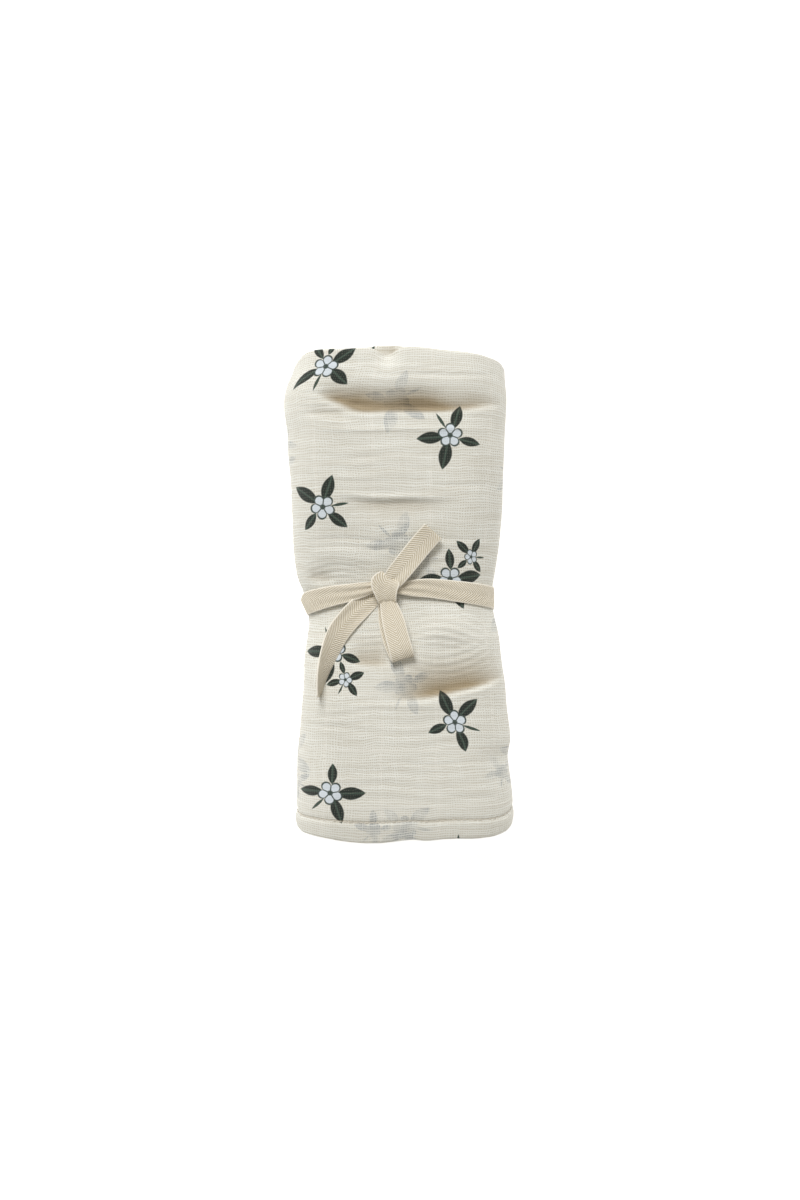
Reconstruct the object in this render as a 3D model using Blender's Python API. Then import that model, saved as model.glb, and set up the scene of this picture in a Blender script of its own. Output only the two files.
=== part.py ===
"""Swaddle blanket of cotton muslin: folded in quarters, rolled flat and tied with a tape.

The roll lies along Y on the floor, Z up. Its hem end is at -Y and its folded end at +Y.
All sizes are millimetres, and MM turns them into Blender's metres.
"""
import math
from collections import namedtuple

import bmesh
import bpy
from mathutils import Vector

MM = 0.001

# Driving sizes of the roll
HALF_LENGTH = 139.5
STRIP_THICK = 4.7          # four layers of muslin, rolled together
CROWN = 3.0                # how far the middle of the top stands above its edges
LOOSE_END_TURN = 120.0     # degrees from the top, round the left side, to the strip's loose end
DIVE = 36.0                # stretch over which the strip sinks under its own loose end
END_SIDE_REACH = 6         # power: how soon a crosswise ring takes up the bow of the roll's end

# Driving sizes of the tape
TAPE_WIDE = 13.0
TAPE_THICK = 1.0
TAPE_CLEAR = 0.6           # from the roll's surface to the tape's inner face
KNOT_SIZE = (14.5, 17.0, 8.5)
KNOT_AT = (-6.5, 3.0)
KNOT_TAPER = 0.28          # share of its width that the knot loses towards the hem end

# How many points the meshes get
LEG_STEPS = (10, 19, 11, 15, 5)
TAPE_LEG_STEPS = (9, 16, 9, 8, 4)
STATION_COUNT = 53
RIBBON_STEPS = 3


# ---------------------------------------------------------------- the roll's outer form

# The roll's outline across its length, waisted where the tape draws it in.
Station = namedtuple("Station", "y left right low high")
STATIONS = [
    Station(-140, -57.0, 63.5, 0.0, 47.0),
    Station(-127, -57.6, 65.0, 0.0, 49.5),
    Station(-112, -57.4, 64.8, 0.0, 50.0),
    Station(-98, -57.0, 63.0, 0.0, 50.0),
    Station(-91, -56.8, 62.0, 0.0, 49.8),
    Station(-82, -56.2, 63.4, 0.0, 49.5),
    Station(-64, -55.4, 61.8, 0.0, 49.0),
    Station(-50, -54.2, 61.2, 0.0, 47.8),
    Station(-37, -53.6, 59.2, 0.4, 46.0),
    Station(-24, -52.2, 57.4, 2.0, 43.6),
    Station(-12, -51.2, 54.4, 3.6, 41.2),
    Station(-2, -52.6, 53.0, 4.2, 40.0),
    Station(6, -55.6, 54.0, 4.0, 40.4),
    Station(12, -57.2, 55.0, 3.4, 41.6),
    Station(24, -58.8, 56.6, 1.8, 44.2),
    Station(37, -59.8, 57.8, 0.4, 46.6),
    Station(51, -61.0, 59.2, 0.0, 48.6),
    Station(64, -61.6, 60.0, 0.0, 49.6),
    Station(78, -62.6, 60.6, 0.0, 50.0),
    Station(91, -63.0, 60.8, 0.0, 50.0),
    Station(98, -64.2, 61.2, 0.0, 50.0),
    Station(105, -65.0, 61.6, 0.0, 49.8),
    Station(112, -64.4, 61.6, 0.0, 49.6),
    Station(119, -62.4, 60.8, 0.0, 49.0),
    Station(126, -59.2, 60.2, 0.0, 48.0),
    Station(140, -56.6, 59.4, 0.0, 45.5),
]

# How far each end of the roll reaches, across its width.
Reach = namedtuple("Reach", "x y")
HEM_END = [
    Reach(-60, 124.0), Reach(-57.2, 130.0), Reach(-54.8, 133.2), Reach(-49.7, 135.0),
    Reach(-41, 136.8), Reach(-29, 138.4), Reach(-13, 139.5), Reach(2, 138.4), Reach(20, 137.2),
    Reach(44, 136.8), Reach(52, 136.0), Reach(57, 134.7), Reach(61, 132.8), Reach(63.4, 129.8),
    Reach(66, 124.0),
]
FOLD_END = [
    Reach(-60, 124.0), Reach(-57, 129.0), Reach(-55.4, 132.6), Reach(-52, 135.8),
    Reach(-46, 137.3), Reach(-26, 137.4), Reach(-17, 138.2), Reach(-6, 139.5), Reach(6, 138.6),
    Reach(24, 137.0), Reach(42, 135.2), Reach(53, 132.6), Reach(57.5, 130.6), Reach(59.6, 127.5),
    Reach(62, 123.0),
]

# Main creases of the top: a line from x0, y0 to x1, y1, sagging by bow at its middle. A trough
# has a negative rise. It fades over `folded` towards +Y and over `hem` towards -Y.
Crease = namedtuple("Crease", "x0 y0 x1 y1 bow folded hem rise")
CREASES = [
    Crease(-46, 103.5, 52, 104.5, -1.0, 9.0, 2.6, -5.0),    # the deep one below the folded end
    Crease(-52, 119.0, 56, 119.0, 0.0, 7.0, 6.0, 1.0),      # the roll of cloth above it
    Crease(-60, 92.0, 60, 92.0, -0.5, 2.5, 2.5, 0.5),       # a low line right across
    Crease(-30, 51.0, 44, 51.0, -1.5, 2.6, 8.0, -2.4),      # soft, with a sharp upper edge
    Crease(-53, 9.0, -36, 9.0, 0.0, 4.0, 3.0, -1.4),        # hollow above the left band
    Crease(12, -20.0, 40, -22.0, 3.0, 7.0, 7.0, 2.0),       # bulge under the right band
    Crease(-28, -36.0, -4, -37.0, -1.0, 9.0, 2.6, -2.4),    # hollow between the tails
    Crease(-55, -47.0, -40, -47.0, 0.0, 9.0, 9.0, 1.4),     # bulge by the lower tail
    Crease(0, -58.0, 56, -46.0, -1.5, 13.0, 2.8, -5.6),     # slanting fold at the lower right
    Crease(-50, -94.0, 60, -94.0, 0.0, 3.0, 3.0, 0.3),      # faint line
]
DIMPLE_AT, DIMPLE_SIZE, DIMPLE_DEEP = (-6.0, 134.0), 6.5, 3.0


def smooth_step(share):
    share = min(max(share, 0.0), 1.0)
    return share * share * (3.0 - 2.0 * share)


def read_off(rows, key, column, place):
    """A smooth curve through one column of a table, read at a place along another column."""
    last = len(rows) - 2
    first = 0
    while first < last and getattr(rows[first + 1], key) < place:
        first += 1
    low, high = rows[first], rows[first + 1]
    before, after = rows[max(first - 1, 0)], rows[min(first + 2, last + 1)]
    at = [getattr(row, key) for row in (before, low, high, after)]
    value = [getattr(row, column) for row in (before, low, high, after)]
    span = at[2] - at[1]
    share = min(max((place - at[1]) / span, 0.0), 1.0)
    slope_low = (value[2] - value[0]) / (at[2] - at[0]) * span
    slope_high = (value[3] - value[1]) / (at[3] - at[1]) * span
    square, cube = share**2, share**3
    return (
        (2 * cube - 3 * square + 1) * value[1]
        + (cube - 2 * square + share) * slope_low
        + (3 * square - 2 * cube) * value[2]
        + (cube - square) * slope_high
    )


def end_reach(x, folded_end):
    return read_off(FOLD_END if folded_end else HEM_END, "x", "y", x)


def section(y):
    """Middle x, core half-width, underside and half-thickness of the roll at y."""
    left, right, low, high = (read_off(STATIONS, "y", c, y) for c in ("left", "right", "low", "high"))
    half_thick = (high - CROWN - low) / 2
    return (left + right) / 2, (right - left) / 2 - half_thick, low, half_thick


# Once round the section, from the strip's loose end: each leg is a straight run of the core line
# or a turn round one of its ends. Headings are degrees from straight up, clockwise.
Leg = namedtuple("Leg", "core_from core_to heading_from heading_to")
LEGS = [
    Leg(-1, -1, -LOOSE_END_TURN, 0),
    Leg(-1, 1, 0, 0),
    Leg(1, 1, 0, 180),
    Leg(1, -1, 180, 180),
    Leg(-1, -1, 180, 360 - LOOSE_END_TURN),
]


def leg_length(leg, core, half_thick):
    turned = math.radians(leg.heading_to - leg.heading_from)
    return abs(leg.core_to - leg.core_from) * core + turned * half_thick


NOMINAL_SECTION = section(70.0)
NOMINAL_ROUND = sum(leg_length(leg, NOMINAL_SECTION[1], NOMINAL_SECTION[3]) for leg in LEGS)

Spot = namedtuple("Spot", "core heading around")


def spots_round(steps):
    """Places once round the section, with the distance round it from the loose end."""
    spots = []
    around = 0.0
    for leg, count in zip(LEGS, steps):
        length = leg_length(leg, NOMINAL_SECTION[1], NOMINAL_SECTION[3])
        for i in range(count):
            share = i / count
            core = leg.core_from + (leg.core_to - leg.core_from) * share
            heading = leg.heading_from + (leg.heading_to - leg.heading_from) * share
            spots.append(Spot(core, math.radians(heading), around + length * share))
        around += length
    return spots


def crease_rise(x, y):
    """Height that the creases and the dimple add to the top at x, y."""
    total = 0.0
    for c in CREASES:
        run = Vector((c.x1 - c.x0, c.y1 - c.y0))
        place = Vector((x - c.x0, y - c.y0))
        share = place.dot(run) / run.length_squared
        off_line = run.normalized().cross(place) - 4 * c.bow * share * (1 - share)
        width = c.folded if off_line > 0 else c.hem
        fade = smooth_step(share / 0.25 + 0.35) * smooth_step((1 - share) / 0.25 + 0.35)
        total += c.rise * fade * math.exp(-((off_line / width) ** 2))
    off = math.dist((x, y), DIMPLE_AT) / DIMPLE_SIZE
    return total - DIMPLE_DEEP * math.exp(-off * off)


def roll_point(spot, y, inset=0.0, creased=True):
    """A point of the roll at y, `inset` below its outer surface; a negative inset stands off it."""
    middle, core, low, half_thick = section(y)
    reach = half_thick - inset
    x = middle + core * spot.core + reach * math.sin(spot.heading)
    up = math.cos(spot.heading)
    z = low + half_thick + reach * up
    top = smooth_step(up)
    z += CROWN * top * (1 - ((x - middle) / (core + half_thick)) ** 2)
    if creased:
        z += top * crease_rise(x, y) * max(0.0, 1 - max(inset, 0.0) / half_thick)
    return Vector((x, y, max(z, 0.0)))


def along_at(spot, share):
    """y of a ring that stands at share (-1 to 1) of the half-length, bowed near the ends."""
    middle, core, low, half_thick = section(share * HALF_LENGTH)
    x = middle + core * spot.core + half_thick * math.sin(spot.heading)
    missing = HALF_LENGTH - end_reach(x, share > 0)
    return share * (HALF_LENGTH - missing * abs(share) ** END_SIDE_REACH)


# ---------------------------------------------------------------- meshes


def new_object(name, bm, colour, roughness):
    """An object of its own, smooth shaded, in its own fabric material."""
    bmesh.ops.recalc_face_normals(bm, faces=bm.faces)
    mesh = bpy.data.meshes.new(name)
    bm.to_mesh(mesh)
    bm.free()
    mesh.transform(((MM, 0, 0, 0), (0, MM, 0, 0), (0, 0, MM, 0), (0, 0, 0, 1)))
    mesh.shade_smooth()
    material = bpy.data.materials.new(name + "_fabric")
    material.use_nodes = True
    shader = material.node_tree.nodes["Principled BSDF"]
    shader.inputs["Base Color"].default_value = (*colour, 1.0)
    shader.inputs["Roughness"].default_value = roughness
    shader.inputs["Metallic"].default_value = 0.0
    mesh.materials.append(material)
    obj = bpy.data.objects.new(name, mesh)
    bpy.context.collection.objects.link(obj)
    return obj


def add_ring(bm, points):
    return [bm.verts.new(p) for p in points]


def skin(bm, ring, next_ring):
    """Quads between two closed rings of as many points."""
    for i in range(len(ring)):
        j = (i + 1) % len(ring)
        bm.faces.new((ring[i], ring[j], next_ring[j], next_ring[i]))


# The rounded rim of each end and the turns that show there, from the outside in. `back` is how
# far the ring stands inside the end, `inset` how far inside the roll's surface, and `step` the
# share of the loose end's thickness that still shows as a step.
EndRing = namedtuple("EndRing", "back inset step")
END_RINGS = [
    EndRing(3.0, 0.2, 1.0),
    EndRing(0.9, 1.1, 0.6),
    EndRing(0.0, 2.6, 0.0),
    EndRing(2.4, 4.8, 0.0),
    EndRing(0.9, 7.2, 0.0),
    EndRing(0.9, 9.6, 0.0),
    EndRing(3.2, 12.0, 0.0),
    EndRing(1.4, 14.6, 0.0),
    EndRing(3.6, 17.6, 0.0),
    EndRing(4.4, 20.4, 0.0),
]
TURN_SLOPE = 1.4           # how far the inner turns run in and out of the end, once round
CORE_BACK = 8.0            # how far the flat core of the roll stands inside the end


def strip_dive(spot):
    """How far the strip has sunk under its own loose end, once round."""
    return STRIP_THICK * smooth_step((spot.around - (NOMINAL_ROUND - DIVE)) / DIVE)


def end_rings(spots, folded_end):
    """The rings of one end, from its rim to its core."""
    sign = 1 if folded_end else -1
    rings = []
    for row in END_RINGS:
        inner = smooth_step((row.inset - STRIP_THICK / 2) / STRIP_THICK)
        points = []
        for spot in spots:
            lean = TURN_SLOPE * (1 + math.cos(2 * math.pi * spot.around / NOMINAL_ROUND))
            edge = roll_point(spot, sign * HALF_LENGTH, row.inset + row.step * strip_dive(spot))
            back = row.back + inner * lean
            points.append(Vector((edge.x, along_at(spot, sign) - sign * back, edge.z)))
        rings.append(points)
    for point in rings[-1]:
        point.y = sign * (HALF_LENGTH - CORE_BACK)
    return rings


def make_blanket():
    """The roll: its hem end, the crosswise rings along it, and its folded end."""
    spots = spots_round(LEG_STEPS)
    outlines = end_rings(spots, folded_end=False)[::-1]
    share_inside = 1 - 2 * END_RINGS[0].back / HALF_LENGTH
    for i in range(STATION_COUNT):
        share = share_inside * (2 * i / (STATION_COUNT - 1) - 1)
        outlines.append([roll_point(s, along_at(s, share), strip_dive(s)) for s in spots])
    outlines += end_rings(spots, folded_end=True)

    bm = bmesh.new()
    rings = [add_ring(bm, points) for points in outlines]
    for ring, next_ring in zip(rings, rings[1:]):
        skin(bm, ring, next_ring)
    bm.faces.new(rings[0])
    bm.faces.new(rings[-1])
    return new_object("blanket", bm, (0.63, 0.58, 0.48), 0.95)


# ---------------------------------------------------------------- the tape


# The band's middle line round the waist, by the distance round the roll from its loose end. It
# climbs to the knot and is gathered there.
Band = namedtuple("Band", "around y wide")
BAND = [
    Band(-40, -6.0, 13.0), Band(0, -6.5, 13.0), Band(40, -6.5, 13.0), Band(58, -4.6, 13.0),
    Band(76, -1.2, 12.6), Band(92, 2.0, 9.5), Band(100, 3.4, 6.0), Band(108, 4.0, 6.0),
    Band(122, 3.4, 10.5), Band(142, 1.0, 13.0), Band(165, -2.0, 13.0), Band(205, -4.0, 13.0),
    Band(250, -5.4, 13.0), Band(330, -6.5, 13.0),
]


def make_band():
    """The tape once round the waist, closed on itself under the knot."""
    bm = bmesh.new()
    rings = []
    for spot in spots_round(TAPE_LEG_STEPS):
        y = read_off(BAND, "around", "y", spot.around)
        half = read_off(BAND, "around", "wide", spot.around) / 2
        inner = [roll_point(spot, y + k * half, -TAPE_CLEAR) for k in (-1, 0, 1)]
        outer = [roll_point(spot, y + k * half, -TAPE_CLEAR - TAPE_THICK) for k in (1, 0, -1)]
        rings.append(add_ring(bm, inner + outer))
    for ring, next_ring in zip(rings, rings[1:] + rings[:1]):
        skin(bm, ring, next_ring)
    return new_object("tie_tape", bm, (0.60, 0.53, 0.42), 0.9)


# Free stretches of tape, from inside the knot outwards: middle of the tape at x, y, how high it
# stands above the roll, its width, and how far it is turned on edge in degrees.
Stretch = namedtuple("Stretch", "x y lift wide turn")
UPPER_TAIL = [
    Stretch(-6.0, 3.0, 4.0, 8.0, 0),
    Stretch(-2.0, 9.0, 4.4, 11.0, 4),
    Stretch(3.0, 15.6, 4.6, 12.8, 6),
    Stretch(9.0, 23.0, 4.0, 13.0, 4),
    Stretch(14.6, 29.4, 3.2, 13.0, 2),
    Stretch(19.6, 35.0, 2.6, 13.0, 0),
]
LOWER_TAIL = [
    Stretch(-8.0, 3.0, 3.6, 7.0, 0),
    Stretch(-14.0, -3.6, 3.8, 10.5, 8),
    Stretch(-24.0, -14.0, 4.2, 13.0, 14),
    Stretch(-33.0, -26.0, 5.0, 13.0, 24),
    Stretch(-39.0, -38.0, 6.2, 13.0, 42),
    Stretch(-42.6, -47.0, 7.2, 13.0, 62),
    Stretch(-44.0, -55.0, 7.4, 12.0, 82),
]
LOOP = [
    Stretch(-6.5, 2.0, 5.2, 9.0, 0),
    Stretch(-5.2, -6.0, 5.8, 10.0, -4),
    Stretch(-2.6, -16.0, 7.0, 12.0, -6),
    Stretch(0.4, -26.0, 8.2, 13.0, -6),
    Stretch(3.0, -34.0, 8.0, 13.4, -4),
    Stretch(3.9, -36.6, 6.2, 13.4, -4),
    Stretch(3.6, -36.0, 4.2, 13.4, -4),
    Stretch(2.0, -30.0, 2.8, 13.0, -2),
    Stretch(-1.2, -20.0, 2.4, 12.0, 0),
    Stretch(-4.6, -8.0, 2.6, 9.0, 0),
    Stretch(-6.5, 2.0, 3.2, 7.0, 0),
]


def crown_height(x, y):
    """Height of the roll's top over x, y."""
    middle, core, low, half_thick = section(y)
    off = max(abs(x - middle) - core, 0.0)
    level = low + half_thick + math.sqrt(max(half_thick**2 - off**2, 0.0))
    return level + CROWN * (1 - ((x - middle) / (core + half_thick)) ** 2) + crease_rise(x, y)


def curve_through(rows):
    """Rows of a table with RIBBON_STEPS smooth steps from each to the next."""
    fields = rows[0]._fields
    Numbered = namedtuple("Numbered", ("number",) + fields)
    table = [Numbered(i, *row) for i, row in enumerate(rows)]
    count = (len(rows) - 1) * RIBBON_STEPS + 1
    places = [i / RIBBON_STEPS for i in range(count)]
    return [type(rows[0])(*(read_off(table, "number", f, p) for f in fields)) for p in places]


def make_stretch(name, rows):
    """A free stretch of the tape, lofted through its rows with square cut ends."""
    rows = curve_through(rows)
    middles = [Vector((r.x, r.y, crown_height(r.x, r.y) + TAPE_CLEAR + r.lift)) for r in rows]
    bm = bmesh.new()
    rings = []
    for i, (row, middle) in enumerate(zip(rows, middles)):
        ahead = (middles[min(i + 1, len(rows) - 1)] - middles[max(i - 1, 0)]).normalized()
        if i:
            level = across - ahead * across.dot(ahead)
        else:
            level = ahead.cross(Vector((0, 0, 1)))
        across = level.normalized()
        face = across.cross(ahead)
        turn = math.radians(row.turn)
        side = (across * math.cos(turn) + face * math.sin(turn)) * row.wide / 2
        thick = side.cross(ahead).normalized() * TAPE_THICK / 2
        corners = [middle + a * side + b * thick for a, b in ((-1, -1), (1, -1), (1, 1), (-1, 1))]
        rings.append(add_ring(bm, corners))
    for ring, next_ring in zip(rings, rings[1:]):
        skin(bm, ring, next_ring)
    bm.faces.new(rings[0])
    bm.faces.new(rings[-1])
    return new_object(name, bm, (0.60, 0.53, 0.42), 0.9)


def make_knot():
    """The wrapped middle of the bow: a rounded block, narrower towards the hem end."""
    bm = bmesh.new()
    bmesh.ops.create_uvsphere(bm, u_segments=18, v_segments=10, radius=1.0)
    x, y = KNOT_AT
    bottom = crown_height(x, y) + TAPE_CLEAR
    for vert in bm.verts:
        squared = Vector([math.copysign(abs(c) ** 0.75, c) for c in vert.co])
        narrow = 1 - KNOT_TAPER * (1 - squared.y) / 2
        vert.co = (
            x + squared.x * narrow * KNOT_SIZE[0] / 2,
            y + squared.y * KNOT_SIZE[1] / 2,
            bottom + (squared.z + 1) * KNOT_SIZE[2] / 2,
        )
    return new_object("knot", bm, (0.60, 0.53, 0.42), 0.9)


def make_tie():
    """The band with the knot, the loop and both tails joined to it as one length of tape."""
    tie = make_band()
    for joined in (
        make_knot(),
        make_stretch("upper_tail", UPPER_TAIL),
        make_stretch("lower_tail", LOWER_TAIL),
        make_stretch("loop", LOOP),
    ):
        joined.hide_render = True
        joined.display_type = "WIRE"
        union = tie.modifiers.new(joined.name, "BOOLEAN")
        union.operation = "UNION"
        union.solver = "EXACT"
        union.object = joined
    return tie


for old in list(bpy.data.objects):
    bpy.data.objects.remove(old, do_unlink=True)
make_blanket()
make_tie()
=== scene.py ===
"""A swaddle blanket of printed muslin, folded in quarters, rolled up flat and tied with twill tape.

Sizes are millimetres, as a sewing pattern gives them, and MM turns them into Blender's metres.
The roll lies along Y, its hemmed end at -Y and its folded end at +Y.
"""
import math
from collections import namedtuple

import bmesh
import bpy
import numpy as np
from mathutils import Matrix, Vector


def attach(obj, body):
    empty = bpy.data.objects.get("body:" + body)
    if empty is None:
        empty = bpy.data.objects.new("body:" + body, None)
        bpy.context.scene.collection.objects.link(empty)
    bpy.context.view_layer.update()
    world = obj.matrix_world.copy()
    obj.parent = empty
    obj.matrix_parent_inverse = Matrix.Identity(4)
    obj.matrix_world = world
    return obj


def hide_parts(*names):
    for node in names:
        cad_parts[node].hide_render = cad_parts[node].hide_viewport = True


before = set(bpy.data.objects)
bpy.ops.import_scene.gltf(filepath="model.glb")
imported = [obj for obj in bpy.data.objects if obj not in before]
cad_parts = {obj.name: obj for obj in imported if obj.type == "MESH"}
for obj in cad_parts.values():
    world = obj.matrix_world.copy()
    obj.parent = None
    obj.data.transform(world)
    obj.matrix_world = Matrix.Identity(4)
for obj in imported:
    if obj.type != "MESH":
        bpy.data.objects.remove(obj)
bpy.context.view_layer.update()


# ------------------------------------------------------------ The rolled blanket: its form
# The maker's strip of four layers is wound into a flat roll about 50 mm thick. The tape draws its
# middle in, and the soft cloth keeps a few deep crosswise folds on top, where hands pressed it.
MM = 0.001
HALF_LENGTH = 139.5
STRIP_THICK = 4.7          # four layers of muslin, with the air between them
CROWN = 3.0                # how far the middle of the top stands above its edges
LOOSE_END_TURN = 120.0     # degrees from the top, round the left side, to the strip's loose end
DIVE = 36.0                # stretch over which the strip sinks under its own loose end
END_SIDE_REACH = 6         # power: how soon the cloth takes up the bow of the roll's end

Station = namedtuple("Station", "y left right low high")
STATIONS = [
    Station(-140, -57.0, 63.5, 0.0, 47.0),
    Station(-127, -57.6, 65.0, 0.0, 49.5),
    Station(-112, -57.4, 64.8, 0.0, 50.0),
    Station(-98, -57.0, 63.0, 0.0, 50.0),
    Station(-91, -56.8, 62.0, 0.0, 49.8),
    Station(-82, -56.2, 63.4, 0.0, 49.5),
    Station(-64, -55.4, 61.8, 0.0, 49.0),
    Station(-50, -54.2, 61.2, 0.0, 47.8),
    Station(-37, -53.6, 59.2, 0.4, 46.0),
    Station(-24, -51.6, 57.4, 2.0, 43.6),
    Station(-12, -50.2, 54.4, 3.6, 41.2),
    Station(-2, -52.0, 53.0, 4.2, 40.0),
    Station(6, -55.6, 54.0, 4.0, 40.4),
    Station(12, -57.2, 55.0, 3.4, 41.6),
    Station(24, -58.8, 56.6, 1.8, 44.2),
    Station(37, -59.8, 57.8, 0.4, 46.6),
    Station(51, -61.0, 59.2, 0.0, 48.6),
    Station(64, -61.6, 60.0, 0.0, 49.6),
    Station(78, -62.6, 60.6, 0.0, 50.0),
    Station(91, -63.0, 60.8, 0.0, 50.0),
    Station(98, -64.2, 61.2, 0.0, 50.0),
    Station(105, -65.0, 61.6, 0.0, 49.8),
    Station(112, -64.4, 61.6, 0.0, 49.6),
    Station(119, -62.4, 60.8, 0.0, 49.0),
    Station(126, -59.2, 60.2, 0.0, 48.0),
    Station(140, -56.6, 59.4, 0.0, 45.5),
]

# How far each end of the roll reaches, across its width.
Reach = namedtuple("Reach", "x y")
HEM_END = [
    Reach(-60, 124.0), Reach(-57.2, 130.0), Reach(-54.8, 133.2), Reach(-49.7, 135.0),
    Reach(-41, 136.8), Reach(-29, 138.4), Reach(-14, 139.5), Reach(-3, 138.8), Reach(8, 137.2),
    Reach(16, 137.8), Reach(30, 137.0), Reach(44, 136.7), Reach(52, 136.0), Reach(57, 134.7),
    Reach(61, 132.8), Reach(63.4, 129.8), Reach(66, 124.0),
]
FOLD_END = [
    Reach(-60, 124.0), Reach(-57, 129.0), Reach(-55.4, 132.6), Reach(-52, 135.8),
    Reach(-46, 137.3), Reach(-26, 137.4), Reach(-17, 138.2), Reach(-6, 139.5), Reach(6, 138.6),
    Reach(24, 137.0), Reach(42, 135.2), Reach(53, 132.6), Reach(57.5, 130.6), Reach(59.6, 127.5),
    Reach(62, 123.0),
]

# Creases of the top: a line from x0, y0 to x1, y1, sagging by bow at its middle. A trough has a
# negative rise. It fades over `folded` towards +Y and over `hem` towards -Y.
Crease = namedtuple("Crease", "x0 y0 x1 y1 bow folded hem rise")
CREASES = [
    Crease(-46, 113.0, -12, 104.2, -1.2, 7.0, 2.4, -4.8),   # the deep one below the folded end:
    Crease(-32, 104.2, 30, 103.4, -0.4, 9.0, 2.0, -6.0),    # its left part, its middle
    Crease(-2, 103.0, 60, 107.0, -0.8, 8.0, 2.0, -4.0),     # and its right part
    Crease(-54, 101.2, -24, 99.8, 0.0, 3.0, 3.0, -1.4),     # shallow hollow below its left part
    Crease(-54, 119.0, 58, 119.0, 0.0, 7.0, 6.0, 1.0),      # the roll of cloth above it
    Crease(-60, 92.0, 60, 92.0, -0.5, 2.5, 2.5, 0.5),       # a low line right across
    Crease(-36, 51.6, 32, 51.0, -1.4, 2.6, 7.0, -2.0),      # soft, with a sharp upper edge
    Crease(-34, 54.4, 30, 53.6, -1.4, 2.2, 1.6, 0.8),       # that edge
    Crease(-53, 9.0, -34, 9.0, 0.0, 4.0, 3.0, -1.8),        # hollow above the left band
    Crease(-52, 20.0, -8, 18.0, 2.0, 5.0, 5.0, 1.3),        # bunched cloth above that
    Crease(10, -22.0, 44, -24.0, 3.5, 8.0, 7.0, 3.2),       # bulge under the right band
    Crease(-30, -36.0, -2, -37.5, -1.0, 11.0, 2.4, -3.0),   # hollow between the tails
    Crease(-57, -47.0, -38, -48.0, 0.0, 9.0, 8.0, 2.0),     # bulge by the lower tail
    Crease(-4, -59.5, 62, -44.0, -2.0, 14.0, 2.4, -5.6),    # slanting fold at the lower right
    Crease(-6, -62.5, 60, -49.5, -2.0, 3.0, 6.0, 1.1),      # the lip below it
    Crease(-50, -94.0, 60, -94.0, 0.0, 3.0, 3.0, 0.3),      # faint line
]
# Finer pressed lines that only the outer layer keeps.
FINE_CREASES = [
    Crease(-30, 123.6, 62, 122.0, -0.8, 1.2, 1.0, -0.7),
    Crease(-50, 128.5, -8, 128.0, 0.4, 1.5, 1.2, -0.35),
    Crease(-36, 110.5, 30, 111.0, 0.8, 1.5, 1.2, -0.4),
    Crease(-60, 96.0, -26, 95.5, 0.3, 1.1, 1.1, 0.35),
    Crease(-58, 92.0, 60, 91.6, -0.4, 1.0, 0.9, 0.5),
    Crease(12, 99.0, 60, 97.5, 0.6, 1.6, 1.2, -0.3),
    Crease(-26, 76.0, -6, 75.0, 0.4, 1.0, 1.2, -0.3),
    Crease(-58, 64.0, 4, 64.5, 0.3, 1.1, 1.0, 0.35),
    Crease(10, 61.5, 60, 60.5, -0.5, 1.0, 1.1, -0.4),
    Crease(-32, 55.0, 24, 54.4, -1.0, 1.2, 1.0, 0.5),
    Crease(-56, 30.0, 58, 31.0, 0.5, 1.1, 1.0, -0.45),
    Crease(20, 27.5, 58, 28.0, 0.2, 1.2, 1.0, 0.4),
    Crease(-24, 24.5, 14, 25.0, 0.6, 1.2, 1.4, -0.4),
    Crease(-28, -38.4, -2, -39.5, -0.6, 1.2, 1.4, 0.6),
    Crease(4, -61.0, 60, -49.5, -1.2, 1.4, 1.6, 0.7),
    Crease(-52, -61.5, 60, -62.0, -0.6, 1.1, 1.0, 0.45),
    Crease(-54, -74.0, -16, -76.0, 0.6, 1.6, 1.6, -0.3),
    Crease(-20, -94.5, 62, -93.5, -0.4, 1.3, 1.2, -0.45),
    Crease(-54, -104.0, 8, -103.0, 0.4, 1.4, 1.4, 0.25),
    Crease(14, -112.0, 62, -114.0, 0.4, 1.4, 1.4, -0.25),
]
# Patches of close small waves: middle, half sizes, heading of the crests in degrees, distance
# between crests, height, and how strongly the crests curve (per mm, towards +Y).
Waves = namedtuple("Waves", "x y long wide heading pitch height curve")
WAVES = [
    Waves(-35, 13.0, 16, 6.5, 2, 3.4, 0.42, -0.012),
    Waves(-24, 27.0, 28, 8.0, -3, 4.4, 0.20, -0.003),
    Waves(18, 18.0, 20, 7.0, 4, 5.0, 0.22, 0.006),
    Waves(-40, 106.0, 18, 12.0, 0, 4.0, 0.30, 0.0),
    Waves(-4, 126.0, 34, 5.0, -2, 3.8, 0.22, 0.004),
    Waves(26, -20.0, 18, 11.0, -4, 4.4, 0.42, -0.012),
    Waves(30, -38.0, 22, 9.0, 10, 4.6, 0.36, 0.010),
    Waves(-16, -24.0, 12, 12.0, 4, 3.8, 0.34, 0.004),
    Waves(-46, -14.0, 9, 9.0, 16, 4.4, 0.26, 0.0),
    Waves(-36, -66.0, 18, 10.0, 4, 6.0, 0.20, 0.002),
    Waves(20, -76.0, 34, 12.0, 2, 7.0, 0.18, 0.001),
    Waves(-10, 72.0, 40, 14.0, -1, 6.5, 0.16, 0.001),
    Waves(0, -112.0, 52, 14.0, 1, 7.5, 0.16, -0.001),
]
FINE_GAIN, WAVE_GAIN = 1.3, 1.1        # drawn a little stronger than real ones, to be seen
DEEP_RISE, DEEP_POWER = -2.9, 1.25     # a deeper trough falls straight to its line, not rounded
FADE_REACH, FADE_START = 0.5, 0.2      # a crease fades over half its length, from this much of it
LINE_WAVER, LINE_WAVER_SIZE = 0.9, 7.0    # how far the creases' lines wander, and how quickly
WAVE_WAVER, WAVE_WAVER_SIZE = 0.35, 9.0
TOP_UNEVEN, TOP_UNEVEN_SIZE = 0.5, 8.0
SIDE_UNEVEN, SIDE_UNEVEN_SIZE = 0.7, 11.0
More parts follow.
